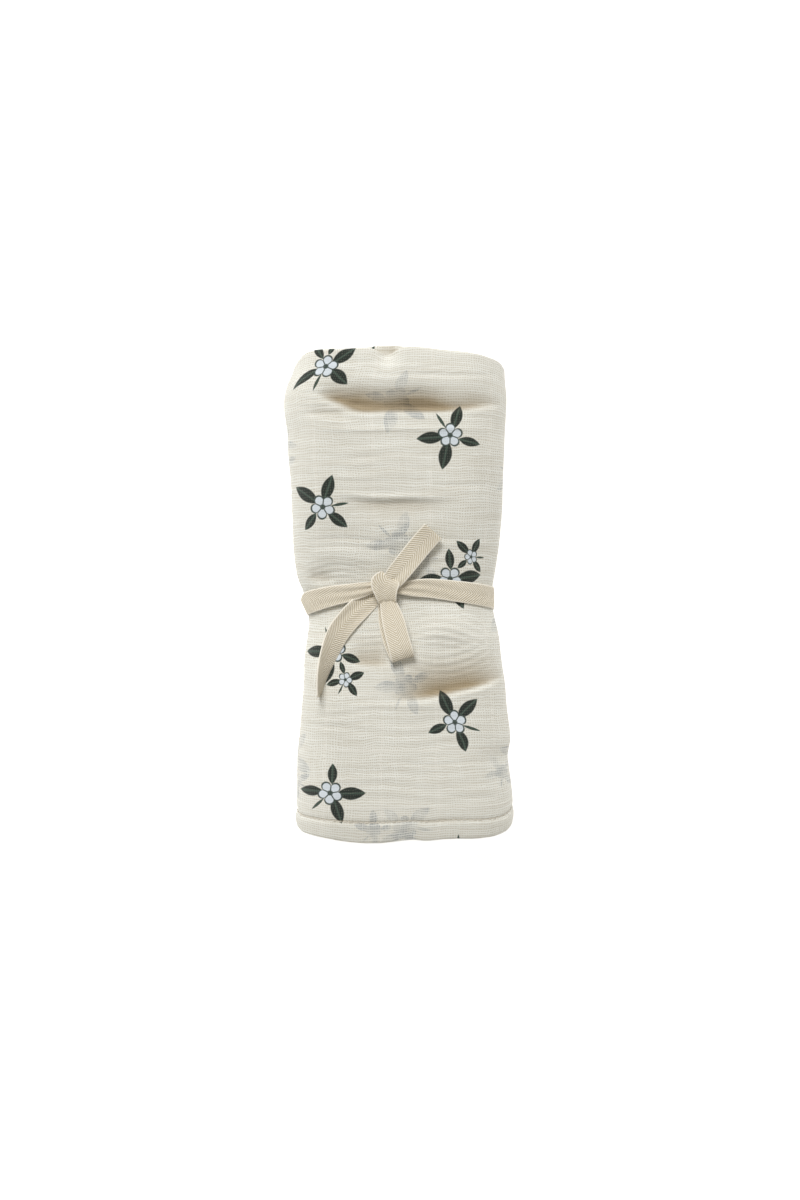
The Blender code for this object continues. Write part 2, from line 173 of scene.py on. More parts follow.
END_UNEVEN, END_UNEVEN_SIZE = 0.45, 5.5
SKIN_DEEP = 2.5                        # the fine lines fade this quickly below the surface
DIMPLE_AT, DIMPLE_SIZE, DIMPLE_DEEP = (-6.0, 133.5), 6.0, 4.5
NOTCH_HALF, NOTCH_BACK = 6.5, 5.0      # the outer fold stands back behind the dimple
NOTCH_FROM, NOTCH_RUN = 110.0, 29.0
SLACK, SLACK_FROM, SLACK_REACH = 8.6, 0.9, 128.0    # air below the outer layer, away from the ends
SLACK_RUN = 12.0
FLOOR_GAP = 0.05                       # nothing lies lower than this


def smooth_step(share):
    share = np.clip(share, 0.0, 1.0)
    return share * share * (3.0 - 2.0 * share)


def bell(distance, size):
    return np.exp(-((distance / size) ** 2))


def read_off(rows, key, column, places):
    """A smooth curve through a table's column, read at places along another, or along its rows."""
    at = np.array([getattr(row, key) for row in rows] if key else range(len(rows)), float)
    value = np.array([getattr(row, column) for row in rows], float)
    before = np.maximum(np.arange(len(rows)) - 1, 0)
    after = np.minimum(np.arange(len(rows)) + 1, len(rows) - 1)
    slope = (value[after] - value[before]) / (at[after] - at[before])
    places = np.clip(places, at[0], at[-1])
    first = np.clip(np.searchsorted(at, places) - 1, 0, len(rows) - 2)
    span = at[first + 1] - at[first]
    share = (places - at[first]) / span
    square, cube = share**2, share**3
    return (
        (2 * cube - 3 * square + 1) * value[first]
        + (cube - 2 * square + share) * slope[first] * span
        + (3 * square - 2 * cube) * value[first + 1]
        + (cube - square) * slope[first + 1] * span
    )


def section(y):
    """Middle x, core half-width, underside and half-thickness of the roll at y."""
    left, right, low, high = (read_off(STATIONS, "y", c, y) for c in ("left", "right", "low", "high"))
    half_thick = (high - CROWN - low) / 2
    return (left + right) / 2, (right - left) / 2 - half_thick, low, half_thick


NOMINAL_CORE, NOMINAL_HALF = (float(v) for v in np.array(section(70.0))[[1, 3]])

# Once round the section, from the loose end: up the left side, over the top, down the right side,
# along the underside and up to the loose end again.
LEG_CORE = np.array((-1, -1, 1, 1, -1, -1), float)
LEG_HEADING = np.radians((-LOOSE_END_TURN, 0, 0, 180, 180, 360 - LOOSE_END_TURN))
LEG_LENGTH = np.abs(np.diff(LEG_CORE)) * NOMINAL_CORE + np.diff(LEG_HEADING) * NOMINAL_HALF
LEG_MARKS = np.concatenate(([0.0], np.cumsum(LEG_LENGTH)))
ROUND = LEG_MARKS[-1]


def wander(x, y, size, seed):
    """A soft unevenness between -1 and 1, with lumps about `size` apart and no repeat in sight."""
    a = np.sin(x / size + 1.7 * np.sin(y / (1.9 * size) + seed) + 2.1 * seed)
    b = np.sin(y / (0.8 * size) + 1.3 * np.sin(x / (1.3 * size) + 1.9 * seed) + seed)
    c = np.sin((x + y) / (1.6 * size) + 3.3 * seed)
    return (a + b + c) / 3


def crease_rise(table, x, y):
    """Height that a table of creases adds to the top at x, y. Their lines waver a little."""
    total = np.zeros_like(x)
    y = y + LINE_WAVER * wander(x, y, LINE_WAVER_SIZE, 8.0)
    for c in table:
        run_x, run_y = c.x1 - c.x0, c.y1 - c.y0
        length = math.hypot(run_x, run_y)
        share = ((x - c.x0) * run_x + (y - c.y0) * run_y) / length**2
        off_line = (run_x * (y - c.y0) - run_y * (x - c.x0)) / length - 4 * c.bow * share * (1 - share)
        width = np.where(off_line > 0, c.folded, c.hem)
        power = np.where((off_line > 0) & (c.rise < DEEP_RISE), DEEP_POWER, 2.0)
        fade = smooth_step(share / FADE_REACH + FADE_START)
        fade = fade * smooth_step((1 - share) / FADE_REACH + FADE_START)
        total += c.rise * fade * np.exp(-((np.abs(off_line) / width) ** power))
    return total


def wave_rise(x, y):
    """Height that the patches of small waves add at x, y."""
    total = np.zeros_like(x)
    for i, w in enumerate(WAVES):
        heading = math.radians(w.heading)
        along = (x - w.x) * math.cos(heading) + (y - w.y) * math.sin(heading)
        over = (y - w.y) * math.cos(heading) - (x - w.x) * math.sin(heading)
        phase = (over - w.curve * along**2) / w.pitch + WAVE_WAVER * wander(x, y, WAVE_WAVER_SIZE, i)
        envelope = bell(along, w.long) * bell(over, w.wide)
        total += WAVE_GAIN * w.height * envelope * np.sin(2 * math.pi * phase)
    return total


def roll_point(around, along, inset, fine=1.0):
    """Places on the roll: `around` it from the loose end, `along` it, and `inset` from its surface.

    `fine` is 1 for cloth, which takes up the fine unevenness, and 0 for what lies smoothly on it.
    """
    heading = np.interp(around, LEG_MARKS, LEG_HEADING)
    core_share = np.interp(around, LEG_MARKS, LEG_CORE)
    out, up = np.sin(heading), np.cos(heading)

    middle, core, _, half = section(along)
    x_edge = middle + core * core_share + half * out
    reaches = np.where(
        along > 0, read_off(FOLD_END, "x", "y", x_edge), read_off(HEM_END, "x", "y", x_edge)
    )
    near_end = np.abs(along / HALF_LENGTH) ** END_SIDE_REACH
    outer = 1 - smooth_step(inset / STRIP_THICK - 0.5)
    uneven_end = wander(x_edge, 0.0 * along, END_UNEVEN_SIZE, 6.0) - 1
    reaches = reaches + END_UNEVEN * outer * uneven_end
    y = along - np.sign(along) * (HALF_LENGTH - reaches) * near_end
    top = smooth_step(up)
    notch = NOTCH_BACK * bell(x_edge - DIMPLE_AT[0], NOTCH_HALF)
    y = y - notch * smooth_step((along - NOTCH_FROM) / NOTCH_RUN) * outer * top

    middle, core, low, half = section(y)
    reach = half - np.where(inset > 0, inset * half / NOMINAL_HALF, inset)
    skin = np.exp(-np.maximum(inset, 0.0) / SKIN_DEEP) * fine
    uneven_side = SIDE_UNEVEN * wander(around * 1.3, along, SIDE_UNEVEN_SIZE, 4.0)
    reach = reach + skin * (1 - top) * uneven_side
    x = middle + core * core_share + reach * out
    z = low + half + reach * up
    z = z + CROWN * top * (1 - ((x - middle) / (core + half)) ** 2)
    deep = np.clip(1 - inset / half, 0.0, 1.0)
    slack = SLACK * smooth_step((SLACK_REACH - np.abs(along)) / SLACK_RUN) * (inset > SLACK_FROM)
    z = z - top * deep * slack
    off_dimple = np.hypot(x - DIMPLE_AT[0], y - DIMPLE_AT[1])
    z = z + top * deep * (crease_rise(CREASES, x, y) - DIMPLE_DEEP * bell(off_dimple, DIMPLE_SIZE))
    small = FINE_GAIN * crease_rise(FINE_CREASES, x, y) + wave_rise(x, y)
    small = small + TOP_UNEVEN * wander(x, y, TOP_UNEVEN_SIZE, 1.0)
    z = z + top * skin * small
    return x, y, np.maximum(z, FLOOR_GAP)


# ------------------------------------------------------------ The blanket's one cloth
# A 110 cm square of cotton double gauze, hemmed all round: the edge is turned in by 12 mm and held
# by one row of stitches. It is folded in quarters, printed side out, and wound up from one end.
HEM = 11.8
LAYER = STRIP_THICK / 4
OUTER_DEPTH = 0.35                    # from the roll's surface to the middle of its outer layer
HEM_LIFT = 0.5                        # between a hem's turned edge and the cloth that it lies on
EDGE_ROUND = 0.4
SECOND_HEM_BACK = 1.4                 # the hem below stands a little inside the outer one
INNER_FOLD_BACK = 2.6                 # and the fold of the inner layers further still
STRIP_LENGTH = 1100.0
COLUMNS_OUTER = (12, 19, 18, 14, 6)   # across each leg of the outer turn
COLUMNS_INNER = (12, 9, 18, 9, 6)
FINE_CUTS = 3                         # cuts across each cell of the cloth that shows on top
SHOWN_BEFORE, SHOWN_AFTER = 26.0, 30.0    # how far round each side those finer cells go on
MOST_TURNS, STRAIGHT_AT = 4.9, 70.0   # the strip is measured here, where the roll is regular

# The hem stands proud by HEM_PUFF, and its stitch line sinks and puckers.
HEM_PUFF, HEM_PUFF_FROM, HEM_PUFF_TO, HEM_PUFF_FADE = 0.42, 1.6, 8.6, 3.0
STITCH_SINK, STITCH_SINK_HALF = 0.6, 1.1
PUCKER, PUCKER_PITCH, PUCKER_HALF, PUCKER_WAVER = 0.16, 4.6, 3.0, 14.0

# The turns inside stand a little in and out of the ends, as a hand-wound roll's do, but not
# behind the dimple.
SLIP, SLIP_PERIOD, SLIP_UNEVEN = 1.5, 97.0, 0.7
SLIP_BOW_FROM, SLIP_BOW_RUN = 90.0, 49.0
CALM_SHARE, CALM_HALF = 0.44, 24.0    # where on the top's leg the dimple is, and how wide it spares

Crossing = namedtuple("Crossing", "along depth face")


def straight_run(start, stop, depth, face, steps, crowd):
    """Crossings of one layer; crowd, from 0 to 1, draws them towards its two ends."""
    share = np.arange(steps) / steps
    share = share - crowd * np.sin(2 * math.pi * share) / (2 * math.pi)
    return [Crossing(start + (stop - start) * s, depth, face) for s in share]


def turned_edge(tip, depth_from, depth_to, face_from, face_to, steps):
    """Crossings round a fold whose outermost reach is tip."""
    radius = (depth_to - depth_from) / 2
    side = math.copysign(1, tip)
    rows = []
    for i in range(steps):
        angle = math.pi * i / steps
        along = tip - side * abs(radius) * (1 - math.sin(angle))
        share = i / steps
        depth = depth_from + radius * (1 - math.cos(angle))
        rows.append(Crossing(along, depth, face_from + (face_to - face_from) * share))
    return rows


DEPTH = [OUTER_DEPTH + LAYER * i for i in range(4)]
HEM_TIP = -HALF_LENGTH
SECOND_TIP = SECOND_HEM_BACK - HALF_LENGTH
INNER_TIP = INNER_FOLD_BACK - HALF_LENGTH
FOLD_CENTRE = HALF_LENGTH - (DEPTH[3] - DEPTH[0]) / 2
crossings = []
crossings += straight_run(HEM_TIP + HEM, HEM_TIP + EDGE_ROUND, DEPTH[0] + HEM_LIFT, 1, 6, 0)
crossings += turned_edge(HEM_TIP, DEPTH[0] + HEM_LIFT, DEPTH[0], 1, 1, 3)
crossings += straight_run(HEM_TIP + EDGE_ROUND, FOLD_CENTRE, DEPTH[0], 1, 70, 0)
crossings += turned_edge(HALF_LENGTH, DEPTH[0], DEPTH[3], 1, -1, 8)
crossings += straight_run(FOLD_CENTRE, INNER_TIP + LAYER / 2, DEPTH[3], -1, 24, 0.85)
crossings += turned_edge(INNER_TIP, DEPTH[3], DEPTH[2], -1, 1, 5)
crossings += straight_run(INNER_TIP + LAYER / 2, FOLD_CENTRE, DEPTH[2], 1, 24, 0.85)
crossings += turned_edge(FOLD_CENTRE + LAYER / 2, DEPTH[2], DEPTH[1], 1, -1, 5)
crossings += straight_run(FOLD_CENTRE, SECOND_TIP + EDGE_ROUND, DEPTH[1], -1, 26, 0.85)
crossings += turned_edge(SECOND_TIP, DEPTH[1], DEPTH[1] - 0.8 * HEM_LIFT, -1, -1, 3)
crossings += straight_run(SECOND_TIP + EDGE_ROUND, SECOND_TIP + HEM, DEPTH[1] - 0.8 * HEM_LIFT, -1, 4, 0)
ALONG, LAYER_DEPTH, FACE = (np.array(column, float) for column in zip(*crossings))
CUT = np.concatenate(([0.0], np.cumsum(np.hypot(np.diff(ALONG), np.diff(LAYER_DEPTH)))))


def strip_inset(wound):
    """How deep the strip lies in the roll, by the distance wound round it."""
    turns, around = np.divmod(wound, ROUND)
    return STRIP_THICK * (turns + smooth_step((around - (ROUND - DIVE)) / DIVE))


# The strip's own length along the winding, which sets where it ends and where its print falls.
wound_fine = np.linspace(0.0, MOST_TURNS * ROUND, 4000)
middle_inset = strip_inset(wound_fine) + STRIP_THICK / 2
line = np.stack(
    roll_point(wound_fine % ROUND, np.full_like(wound_fine, STRAIGHT_AT), middle_inset, 0.0)
)
paid_out = np.concatenate(([0.0], np.cumsum(np.linalg.norm(np.diff(line, axis=1), axis=0))))
wound_end = float(np.interp(STRIP_LENGTH, paid_out, wound_fine))


def column_places():
    """Where the mesh's columns stand along the winding: the turned hem, then leg by leg."""
    places = [-HEM, -HEM / 2, -EDGE_ROUND]
    for turn in range(5):
        columns = COLUMNS_INNER if turn else COLUMNS_OUTER
        for mark, length, count in zip(LEG_MARKS, LEG_LENGTH, columns):
            places += [turn * ROUND + mark + length * i / count for i in range(count)]
    return np.array([p for p in places if p < wound_end] + [wound_end])


def hem_relief(from_edge):
    """How far a hem stands proud, by the distance from its edge: puffed, with a sunk stitch line."""
    puffed = smooth_step(from_edge / HEM_PUFF_FROM)
    puffed = puffed * (1 - smooth_step((from_edge - HEM_PUFF_TO) / HEM_PUFF_FADE))
    return HEM_PUFF * puffed - STITCH_SINK * bell(from_edge - HEM, STITCH_SINK_HALF)


def stitched_hem(from_edge, run, around, along, seed):
    """The hem's relief with the puckers that its stitches pull, `run` along the edge."""
    phase = run / PUCKER_PITCH + 0.4 * wander(around, along, PUCKER_WAVER, seed)
    pucker = PUCKER * np.sin(2 * math.pi * phase)
    return hem_relief(from_edge) + pucker * bell(from_edge - HEM, PUCKER_HALF)


def rolled(wound, cut):
    """Where points of the flat cloth lie in the roll, by their place along and across the strip."""
    around = np.abs(wound)
    turns, around = np.divmod(around, ROUND)
    along = np.interp(cut, CUT, ALONG)
    depth = np.interp(cut, CUT, LAYER_DEPTH)
    face = np.interp(cut, CUT, FACE)
    depth = depth + np.where(wound < 0, 0.8 * HEM_LIFT * face, 0.0)
    inset = strip_inset(np.abs(wound)) + depth

    outer_layer = bell(depth - OUTER_DEPTH, 0.9) * (turns == 0)
    inset -= outer_layer * stitched_hem(along + HALF_LENGTH, around, around, along, 2.0)
    inset -= outer_layer * stitched_hem(around, along, around, along, 3.0)

    inside = smooth_step((np.abs(wound) - 0.8 * ROUND) / (0.3 * ROUND))
    slip = SLIP + SLIP * np.sin(np.abs(wound) / SLIP_PERIOD + 0.8)
    top_middle = LEG_MARKS[1] + LEG_LENGTH[1] * CALM_SHARE
    slip = slip * (1 - 0.95 * bell(around - top_middle, CALM_HALF) * (along > 0))
    slip = slip + SLIP_UNEVEN * wander(wound, depth * 9, 13.0, 5.0)
    bow = smooth_step((np.abs(along) - SLIP_BOW_FROM) / SLIP_BOW_RUN)
    return roll_point(around, along - np.sign(along) * bow * inside * slip, inset)


places = column_places()
grid_wound, grid_cut = np.meshgrid(places, CUT, indexing="ij")
columns, rows = grid_wound.shape
corner = (np.arange(columns - 1)[:, None] * rows + np.arange(rows - 1)).ravel()
cloth_mesh = bpy.data.meshes.new("muslin_blanket")
cloth_mesh.from_pydata(
    np.stack((grid_wound, grid_cut, np.zeros_like(grid_cut)), -1).reshape(-1, 3).tolist(),
    [],
    np.stack((corner, corner + rows, corner + rows + 1, corner + 1), -1).tolist(),
)

# The part that shows on top is cut finer, while the cloth is still flat.
shown_from, shown_to = LEG_MARKS[1] - SHOWN_BEFORE, LEG_MARKS[2] + SHOWN_AFTER
shown_cut_end = float(CUT[np.argmax(ALONG > HALF_LENGTH - 0.01)])
bm = bmesh.new()
bm.from_mesh(cloth_mesh)
shown_edges = set()
for face in bm.faces:
    at = face.calc_center_median()
    if shown_from < at.x < shown_to and HEM < at.y < shown_cut_end:
        shown_edges.update(face.edges)
bmesh.ops.subdivide_edges(
    bm, edges=list(shown_edges), cuts=FINE_CUTS, use_grid_fill=True, use_single_edge=True
)
bm.to_mesh(cloth_mesh)
bm.free()

flat = np.empty(len(cloth_mesh.vertices) * 3)
cloth_mesh.vertices.foreach_get("co", flat)
wound_at, cut_at = flat.reshape(-1, 3)[:, 0], flat.reshape(-1, 3)[:, 1]
wound_at, cut_at = wound_at.astype(float), cut_at.astype(float)
cloth_mesh.vertices.foreach_set("co", (np.stack(rolled(wound_at, cut_at), -1) * MM).ravel())



def lay_flat(mesh, name, flat_places):
    """A UV map of where each vertex lies on the flat cloth, so that patterns keep to the cloth."""
    corner_vertex = np.empty(len(mesh.loops), int)
    mesh.loops.foreach_get("vertex_index", corner_vertex)
    layer = mesh.uv_layers.new(name=name)
    layer.uv.foreach_set("vector", flat_places[corner_vertex].ravel() * MM)


paid_at = np.sign(wound_at) * np.interp(np.abs(wound_at), wound_fine, paid_out)
lay_flat(cloth_mesh, "cloth", np.stack((paid_at, cut_at), -1))
cloth_mesh.shade_smooth()
cloth_mesh.update()


def new_object(name, data):
    made = bpy.data.objects.new(name, data)
    bpy.context.collection.objects.link(made)
    return made


blanket = new_object("muslin_blanket", cloth_mesh)

# How hollow each place of the top is, from 0 to 1, and the dark gap behind the dimple: the gauze's colour
# takes this up as painted warm shade in the creases and behind the dimple.
SHADE_FULL_DEPTH = 5.0
# The gap behind the dimple gets painted shade too, at most this strong; below the top there is none.
BEHIND_DIMPLE, BEHIND_HALF, BEHIND_SHADE_SHARE = 3.0, 3.2, 0.75
TOP_FROM, TOP_RUN = 24.0, 10.0        # only the upper part of the roll takes the tint
shape = np.empty(len(cloth_mesh.vertices) * 3)
cloth_mesh.vertices.foreach_get("co", shape)
shape = shape.reshape(-1, 3) / MM
painted_shade_at = np.clip(-crease_rise(CREASES, shape[:, 0], shape[:, 1]) / SHADE_FULL_DEPTH, 0, 1)
behind_dimple = np.hypot(
    (shape[:, 0] - DIMPLE_AT[0]) / 1.6, shape[:, 1] - DIMPLE_AT[1] - BEHIND_DIMPLE
)
painted_shade_at = np.maximum(painted_shade_at, BEHIND_SHADE_SHARE * bell(behind_dimple, BEHIND_HALF))
painted_shade_at *= smooth_step((shape[:, 2] - TOP_FROM) / TOP_RUN)
hollow = cloth_mesh.attributes.new("hollow", "FLOAT", "POINT")
hollow.data.foreach_set("value", painted_shade_at)


# ------------------------------------------------------------ The blanket's printed gauze
# Two open layers of fine cotton, tacked together every 32 mm, with a print of loose blossoms. The
# threads are slubby and wander, so the eye sees streaks across, pinholes, and the print of the
# layer below as pale grey ghosts. The threads are drawn coarser than real ones, which are 0.6 mm.
WEFT_PITCH, WARP_PITCH = 1.45, 1.3
TACK_PITCH = 32.0
PRINT_ACROSS, PRINT_ALONG = 71.0, 80.0
PETAL_REACH = 6.6
GHOST_SHIFT = (29.0, 1140.0)
SEAM_CUT = float(CUT[np.flatnonzero(LAYER_DEPTH == OUTER_DEPTH)[0]]) + HEM - EDGE_ROUND


def linear(colour):
    """An sRGB hex colour, such as 'e3dcc8', as linear red, green, blue and full alpha."""
    shares = [int(colour[i : i + 2], 16) / 255 for i in (0, 2, 4)]
    return [s / 12.92 if s <= 0.04045 else ((s + 0.055) / 1.055) ** 2.4 for s in shares] + [1.0]


def add(tree, kind, inputs=(), **settings):
    """Adds a node and gives its first output. Inputs are values to set or sockets to link."""
    made = tree.nodes.new(kind)
    for name, value in settings.items():
        setattr(made, name, value)
    for key, value in inputs.items() if isinstance(inputs, dict) else enumerate(inputs):
        if isinstance(value, bpy.types.NodeSocket):
            tree.links.new(value, made.inputs[key])
        else:
            made.inputs[key].default_value = value
    return made.outputs[0]


def new_material(name):
    """A material with its node tree and its surface shader."""
    material = bpy.data.materials.new(name)
    material.use_nodes = True
    return material, material.node_tree, material.node_tree.nodes["Principled BSDF"]


def calc(tree, operation, *values):
    return add(tree, "ShaderNodeMath", values, operation=operation)


def vector_calc(tree, operation, *values):
    return add(tree, "ShaderNodeVectorMath", values, operation=operation)


def mix(tree, *values):
    """Adds a colour mix: the second one's share, and the two colours."""
    return add(tree, "ShaderNodeMixRGB", values)


def remap(tree, *values):
    """Adds a Map Range node: the value, the range it has, and the range it gets."""
    return add(tree, "ShaderNodeMapRange", values)


def new_print_group(name):
    """A node group that gives the ink and its cover at a place, and the place's socket."""
    group = bpy.data.node_groups.new(name, "ShaderNodeTree")
    group.interface.new_socket(name="Place", in_out="INPUT", socket_type="NodeSocketVector")
    group.interface.new_socket(name="Ink", in_out="OUTPUT", socket_type="NodeSocketColor")
    group.interface.new_socket(name="Cover", in_out="OUTPUT", socket_type="NodeSocketFloat")
    return group, group.nodes.new("NodeGroupInput").outputs["Place"]


def close_print_group(group, ink, cover):
    out = group.nodes.new("NodeGroupOutput")
    group.links.new(ink, out.inputs["Ink"])
    group.links.new(cover, out.inputs["Cover"])


def use_print_group(tree, group, at):
    """Adds a print group's node at a place, and gives its ink and its cover."""
    node = tree.nodes.new("ShaderNodeGroup")
    node.node_tree = group
    tree.links.new(at, node.inputs["Place"])
    return node.outputs["Ink"], node.outputs["Cover"]


# One sprig, in mm about the middle of its blossom: five notched petals, pointed leaves and stems.
Leaf = namedtuple("Leaf", "x y turn long wide")
LEAVES = [
    Leaf(10.4, 4.6, 26, 8.6, 3.9),
    Leaf(7.6, -7.6, -48, 8.2, 3.6),
    Leaf(-10.0, -3.6, 204, 7.4, 3.3),
    Leaf(-3.4, 10.4, 112, 6.2, 2.7),
    Leaf(-3.4, -9.0, 250, 5.4, 0.9),
]
sprig, place = new_print_group("sprig")
apart = add(sprig, "ShaderNodeSeparateXYZ", (place,)).node
from_middle = add(sprig, "ShaderNodeVectorMath", (place,), operation="LENGTH").node.outputs["Value"]
bearing = calc(sprig, "ARCTAN2", apart.outputs[1], apart.outputs[0])
bearing = calc(sprig, "MULTIPLY", bearing, 2.5)
lobe = calc(sprig, "COSINE", bearing)
lobe = calc(sprig, "ABSOLUTE", lobe)
petal_edge = calc(sprig, "POWER", lobe, 0.55)
petal_edge = remap(sprig, petal_edge, 0, 1, 0.5 * PETAL_REACH, PETAL_REACH)
past_edge = calc(sprig, "SUBTRACT", from_middle, petal_edge)
petals = remap(sprig, past_edge, 0.3, -0.3, 0, 1)
past_edge = calc(sprig, "ABSOLUTE", past_edge)
outline = remap(sprig, past_edge, 0.3, 0.7, 1, 0)
between = calc(sprig, "MULTIPLY", from_middle, lobe)
between = remap(sprig, between, 0.5, 1.1, 1, 0)
between = calc(sprig, "MULTIPLY", between, petals)
heart = remap(sprig, from_middle, 1.2, 1.8, 1, 0)
lines = calc(sprig, "MAXIMUM", outline, between)
lines = calc(sprig, "MAXIMUM", lines, heart)
leaves, ribs = 0.0, 0.0
for row in LEAVES:
    unit = add(sprig, "ShaderNodeMapping", {
        "Vector": place, "Location": (row.x, row.y, 0), "Rotation": (0, 0, math.radians(row.turn)),
        "Scale": (row.long, row.wide, 1),
    }, vector_type="TEXTURE")
    apart = add(sprig, "ShaderNodeSeparateXYZ", (unit,)).node
    bulge = calc(sprig, "MULTIPLY", apart.outputs[0], apart.outputs[0])
    off_rib = calc(sprig, "ABSOLUTE", apart.outputs[1])
    inside = calc(sprig, "ADD", bulge, off_rib)
    inside = remap(sprig, inside, 1.0, 0.86, 0, 1)
    rib = remap(sprig, off_rib, 0.3 / row.wide, 0.7 / row.wide, 1, 0)
    rib = calc(sprig, "MULTIPLY", rib, inside)
    leaves = calc(sprig, "MAXIMUM", leaves, inside)
    ribs = calc(sprig, "MAXIMUM", ribs, rib)
ink = mix(sprig, ribs, linear("1d2822"), linear("3f5046"))
ink = mix(sprig, petals, ink, linear("dbe4ec"))
ink = mix(sprig, lines, ink, linear("3a4843"))
cover = calc(sprig, "MAXIMUM", leaves, petals)
cover = calc(sprig, "MAXIMUM", cover, outline)
close_print_group(sprig, ink, cover)

# The print: sprigs on a half-drop lattice, each turned its own way, every other one a pair.
SMALL_SPRIG_AT, SMALL_SPRIG_SIZE = (8.0, 15.5, 0.0), 0.62
blossoms, place = new_print_group("blossom_print")
apart = add(blossoms, "ShaderNodeSeparateXYZ", (place,)).node
across = calc(blossoms, "DIVIDE", apart.outputs[0], PRINT_ACROSS)
column = calc(blossoms, "FLOOR", across)
drop = calc(blossoms, "FLOORED_MODULO", column, 2.0)
drop = calc(blossoms, "MULTIPLY", drop, 0.5)
up = calc(blossoms, "DIVIDE", apart.outputs[1], PRINT_ALONG)
up = calc(blossoms, "ADD", up, drop)
row_number = calc(blossoms, "FLOOR", up)
across = calc(blossoms, "FRACT", across)
across = remap(blossoms, across, 0, 1, -PRINT_ACROSS / 2, PRINT_ACROSS / 2)
up = calc(blossoms, "FRACT", up)
up = remap(blossoms, up, 0, 1, -PRINT_ALONG / 2, PRINT_ALONG / 2)
turn = calc(blossoms, "MULTIPLY_ADD", column, 2.4, 0.4)
turn = calc(blossoms, "MULTIPLY_ADD", row_number, 1.9, turn)
local = add(blossoms, "ShaderNodeCombineXYZ", (across, up))
local = add(blossoms, "ShaderNodeVectorRotate", {"Vector": local, "Angle": turn}, rotation_type="Z_AXIS")
small = add(blossoms, "ShaderNodeMapping", {
    "Vector": local, "Location": SMALL_SPRIG_AT, "Rotation": (0, 0, 2.2),
    "Scale": (SMALL_SPRIG_SIZE, SMALL_SPRIG_SIZE, 1),
}, vector_type="TEXTURE")
large_ink, large_cover = use_print_group(blossoms, sprig, local)
small_ink, small_cover = use_print_group(blossoms, sprig, small)
ink = mix(blossoms, large_cover, small_ink, large_ink)
paired = calc(blossoms, "ADD", column, row_number)
paired = calc(blossoms, "FLOORED_MODULO", paired, 2.0)
small_cover = calc(blossoms, "MULTIPLY", small_cover, paired)
cover = calc(blossoms, "MAXIMUM", large_cover, small_cover)
close_print_group(blossoms, ink, cover)

cloth_material, gauze, cloth_shader = new_material("printed_double_gauze")
cloth_place = add(gauze, "ShaderNodeUVMap", uv_map="cloth")
cloth_place = vector_calc(gauze, "MULTIPLY", cloth_place, (1000, 1000, 0))
# The threads drift over centimetres and shiver over millimetres.
thread_place = cloth_place
for scale, detail, far in ((0.055, 2.0, 4.0), (0.5, 1.0, 0.9)):
    noise = {"Vector": cloth_place, "Scale": scale, "Detail": detail}
    noise = add(gauze, "ShaderNodeTexNoise", noise).node.outputs["Color"]
    noise = vector_calc(gauze, "SUBTRACT", noise, (0.5, 0.5, 0.5))
    thread_place = vector_calc(gauze, "MULTIPLY_ADD", noise, (far, far, 0), thread_place)
apart = add(gauze, "ShaderNodeSeparateXYZ", (thread_place,)).node
threads = []
for axis, pitch in ((1, WEFT_PITCH), (0, WARP_PITCH)):
    phase = calc(gauze, "MULTIPLY", apart.outputs[axis], 2 * math.pi / pitch)
    wave = calc(gauze, "SINE", phase)
    threads.append(remap(gauze, wave, -1.0, 0.35, 0, 1))
weft, warp = threads
# Slubs are long along their own thread and short across it.
slubs = []
for squeeze in ((0.035, 0.62, 1), (0.75, 0.03, 1)):
    slub_place = vector_calc(gauze, "MULTIPLY", thread_place, squeeze)
    slub = add(gauze, "ShaderNodeTexNoise", {"Vector": slub_place, "Scale": 1.0, "Detail": 3.0})
    slubs.append(remap(gauze, slub, 0.3, 0.7, 0, 1))
slub, warp_slub = slubs
warp_low = calc(gauze, "MULTIPLY_ADD", warp_slub, 0.4, 0.7)
warp_low = calc(gauze, "MULTIPLY", warp, warp_low)
woven = calc(gauze, "MAXIMUM", weft, warp_low)
slubbed = calc(gauze, "MULTIPLY_ADD", slub, 0.38, 0.66)
woven = calc(gauze, "MULTIPLY", woven, slubbed)

apart = add(gauze, "ShaderNodeSeparateXYZ", (cloth_place,)).node
tacks = 0.0
for axis in (0, 1):
    off_tack = calc(gauze, "PINGPONG", apart.outputs[axis], TACK_PITCH / 2)
    tack = remap(gauze, off_tack, 0.35, 1.0, 1, 0)
    tacks = calc(gauze, "MAXIMUM", tacks, tack)
tacks = calc(gauze, "MULTIPLY", tacks, slub)

ghost_place = vector_calc(gauze, "MULTIPLY_ADD", cloth_place, (1, -1, 0), (*GHOST_SHIFT, 0))
own_ink, own_cover = use_print_group(gauze, blossoms, cloth_place)
_, below_cover = use_print_group(gauze, blossoms, ghost_place)

colour = mix(gauze, woven, linear("c4bcaa"), linear("f0f1eb"))
seen_below = remap(gauze, woven, 0.25, 0.9, 0.85, 0.2)
seen_below = calc(gauze, "MULTIPLY", seen_below, below_cover)
patchy = add(gauze, "ShaderNodeTexNoise", {"Vector": cloth_place, "Scale": 0.11, "Detail": 1.0})
patchy = remap(gauze, patchy, 0.38, 0.62, 0.4, 1)
seen_below = calc(gauze, "MULTIPLY", seen_below, patchy)
colour = mix(gauze, seen_below, colour, linear("8a9299"))
tack_shown = calc(gauze, "MULTIPLY", tacks, 0.45)
colour = mix(gauze, tack_shown, colour, linear("f4f1e9"))
inked = remap(gauze, woven, 0.1, 0.6, 0.86, 1.0)
inked = calc(gauze, "MULTIPLY", inked, own_cover)
colour = mix(gauze, inked, colour, own_ink)
